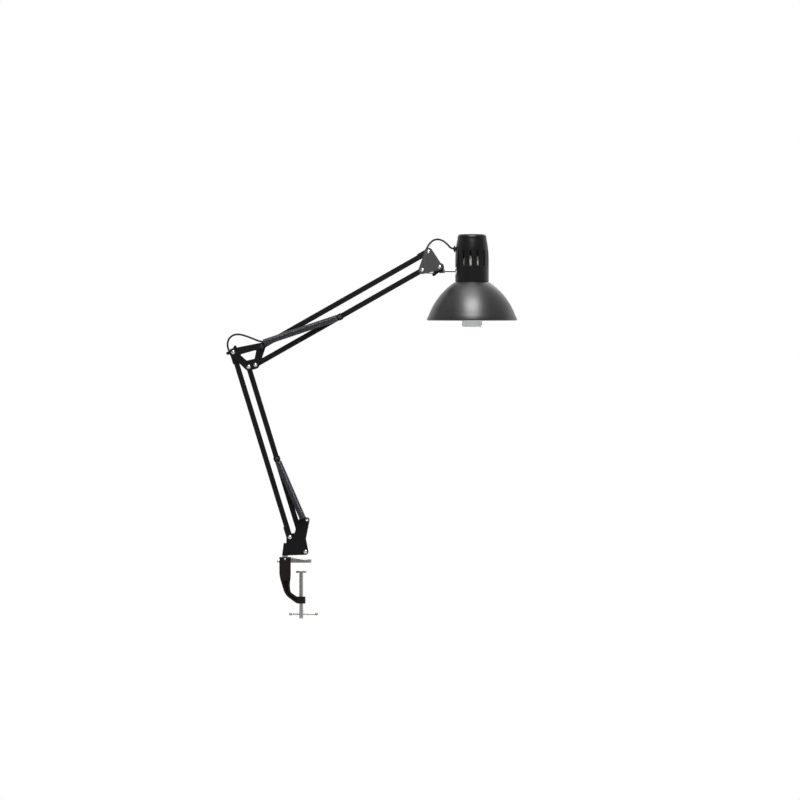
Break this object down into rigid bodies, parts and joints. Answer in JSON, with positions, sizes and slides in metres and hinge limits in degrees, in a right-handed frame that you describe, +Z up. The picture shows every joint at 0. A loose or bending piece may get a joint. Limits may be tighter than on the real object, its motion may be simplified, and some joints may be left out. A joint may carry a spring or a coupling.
{
  "type": "architect desk lamp",
  "caption": "Black clamp-on desk lamp with a sprung two-link parallelogram arm, a bell shade and a vented head that tilts and swivels.",
  "frame": {"origin": "on the upper jaw's desk face, on the axis of the clamp screw", "axes": "+X from the clamp towards the head, +Y across the arms, +Z up"},
  "size_m": [0.5474, 0.17, 0.7231],
  "materials": {
    "cast_iron": "dark satin enamel on a casting",
    "zinc": "bright zinc plate",
    "nickel": "bright nickel plate",
    "spring_steel": "dark oiled spring wire",
    "black_paint": "satin black powder coat",
    "black_plastic": "semi-gloss black moulding",
    "white_plastic": "white moulding",
    "nylon": "black nylon",
    "rubber": "matt black rubber",
    "lead": "matt black cable sheath",
    "aluminium": "thin rolled metal",
    "frosted_glass": "frosted"
  },
  "bodies": {
    "clamp": {"clamp_frame": "cast_iron", "upper_jaw": "zinc", "jaw_screws": "zinc", "spigot_set_screw": "zinc"},
    "pad": {"pressure_pad": "zinc"},
    "spindle": {"clamp_spindle": "zinc"},
    "bar": {"tommy_bar": "zinc"},
    "base": {"base_bracket": "black_paint", "swivel_spigot": "zinc", "base_rivets": "nickel", "base_washers": "nylon", "lower_spring_near": "spring_steel", "lower_spring_far": "spring_steel"},
    "lower_rear": {"lower_rear_tube": "black_paint", "lower_lead_outlets": "black_plastic", "lower_tube_lead": "lead"},
    "lower_front": {"lower_front_tube": "black_paint", "lower_spring_clip": "black_paint", "lower_spring_pin": "spring_steel"},
    "elbow": {"elbow_plate_near": "black_paint", "elbow_plate_far": "black_paint", "elbow_bolt": "nickel", "elbow_rivets": "nickel", "spring_anchor_pin": "spring_steel", "elbow_washers": "nylon", "elbow_lead_loop": "lead", "upper_spring_near": "spring_steel", "upper_spring_far": "spring_steel"},
    "elbow_wing": {"elbow_knob": "black_plastic"},
    "upper_top": {"upper_top_tube": "black_paint", "upper_lead_outlets": "black_plastic", "upper_tube_lead": "lead"},
    "upper_bottom": {"upper_bottom_tube": "black_paint", "upper_spring_clip": "black_paint", "upper_spring_pin": "spring_steel"},
    "head_joint": {"head_bracket": "black_paint", "head_rivets": "nickel", "head_washers": "nylon", "tilt_bolt": "nickel", "head_lead_loop": "lead"},
    "tilt_handle": {"tilt_lever": "black_plastic"},
    "tilt": {"tilt_block": "black_paint", "swivel_rod": "nickel", "rod_lock_nut": "nickel", "rod_nut": "zinc"},
    "head": {"housing": "black_plastic", "top_cap": "black_plastic", "switch_body": "black_plastic", "lead_grommet": "rubber", "swivel_bush": "nickel", "shade": "black_paint", "shade_ring": "white_plastic", "lampholder": "white_plastic", "lampholder_lead": "lead", "lamp_cap": "aluminium", "lamp_bulb": "frosted_glass"},
    "switch": {"rocker": "black_plastic"}
  },
  "joints": [
    {"name": "clamp_travel", "type": "slide", "parent": "clamp", "child": "pad", "axis": [0, 0, 1], "range_m": [-0.042, 0.015]},
    {"name": "spindle_turn", "type": "hinge", "parent": "pad", "child": "spindle", "pos_m": [0, 0, 0], "axis": [0, 0, 1], "range_deg": [-12096, 4320]},
    {"name": "tommy_bar_slide", "type": "slide", "parent": "spindle", "child": "bar", "axis": [1, 0, 0], "range_m": [-0.022, 0.0135]},
    {"name": "base_swivel", "type": "hinge", "parent": "clamp", "child": "base", "pos_m": [-0.03045, 0, 0], "axis": [0, 0, 1], "continuous": true},
    {"name": "lower_arm", "type": "hinge", "parent": "base", "child": "lower_rear", "pos_m": [-0.0212, 0, 0.0479], "axis": [0, 1, 0], "range_deg": [-10, 70], "deforming": ["lower_spring_near", "lower_spring_far"]},
    {"name": "lower_front", "type": "hinge", "parent": "base", "child": "lower_front", "pos_m": [0.0079, 0, 0.0205], "axis": [0, 1, 0], "range_deg": [-10, 70]},
    {"name": "elbow_level", "type": "hinge", "parent": "lower_rear", "child": "elbow", "pos_m": [-0.12799, 0, 0.39567], "axis": [0, 1, 0], "range_deg": [-70, 10], "deforming": ["elbow_lead_loop"]},
    {"name": "upper_arm", "type": "hinge", "parent": "elbow", "child": "upper_top", "pos_m": [-0.07439, 0, 0.40627], "axis": [0, 1, 0], "range_deg": [-20, 75], "deforming": ["upper_spring_near", "upper_spring_far"]},
    {"name": "upper_bottom", "type": "hinge", "parent": "elbow", "child": "upper_bottom", "pos_m": [-0.08609, 0, 0.37187], "axis": [0, 1, 0], "range_deg": [-20, 75]},
    {"name": "head_level", "type": "hinge", "parent": "upper_top", "child": "head_joint", "pos_m": [0.23958, 0, 0.58464], "axis": [0, 1, 0], "range_deg": [-75, 20], "deforming": ["head_lead_loop"]},
    {"name": "head_tilt", "type": "hinge", "parent": "head_joint", "child": "tilt", "pos_m": [0.26059, 0, 0.55584], "axis": [0, 1, 0], "range_deg": [-55, 12]},
    {"name": "head_swivel", "type": "hinge", "parent": "tilt", "child": "head", "pos_m": [0, 0, 0.54874], "axis": [1, 0, 0], "range_deg": [-90, 90]},
    {"name": "elbow_knob_turn", "type": "hinge", "parent": "elbow", "child": "elbow_wing", "pos_m": [-0.12799, 0, 0.39567], "axis": [0, 1, 0], "range_deg": [-20, 360]},
    {"name": "tilt_lever_turn", "type": "hinge", "parent": "head_joint", "child": "tilt_handle", "pos_m": [0.26059, 0, 0.55584], "axis": [0, 1, 0], "range_deg": [-15, 60]},
    {"name": "rocker_switch", "type": "hinge", "parent": "head", "child": "switch", "pos_m": [0.32109, 0, 0.61374], "axis": [0, 1, 0], "range_deg": [0, 14]}
  ],
  "couplings": [
    {"joint": "spindle_turn", "follows": "clamp_travel", "rad_per_m": 5026.5},
    {"joint": "lower_front", "follows": "lower_arm", "ratio": 1},
    {"joint": "elbow_level", "follows": "lower_arm", "ratio": -1},
    {"joint": "upper_bottom", "follows": "upper_arm", "ratio": 1},
    {"joint": "head_level", "follows": "upper_arm", "ratio": -1}
  ]
}
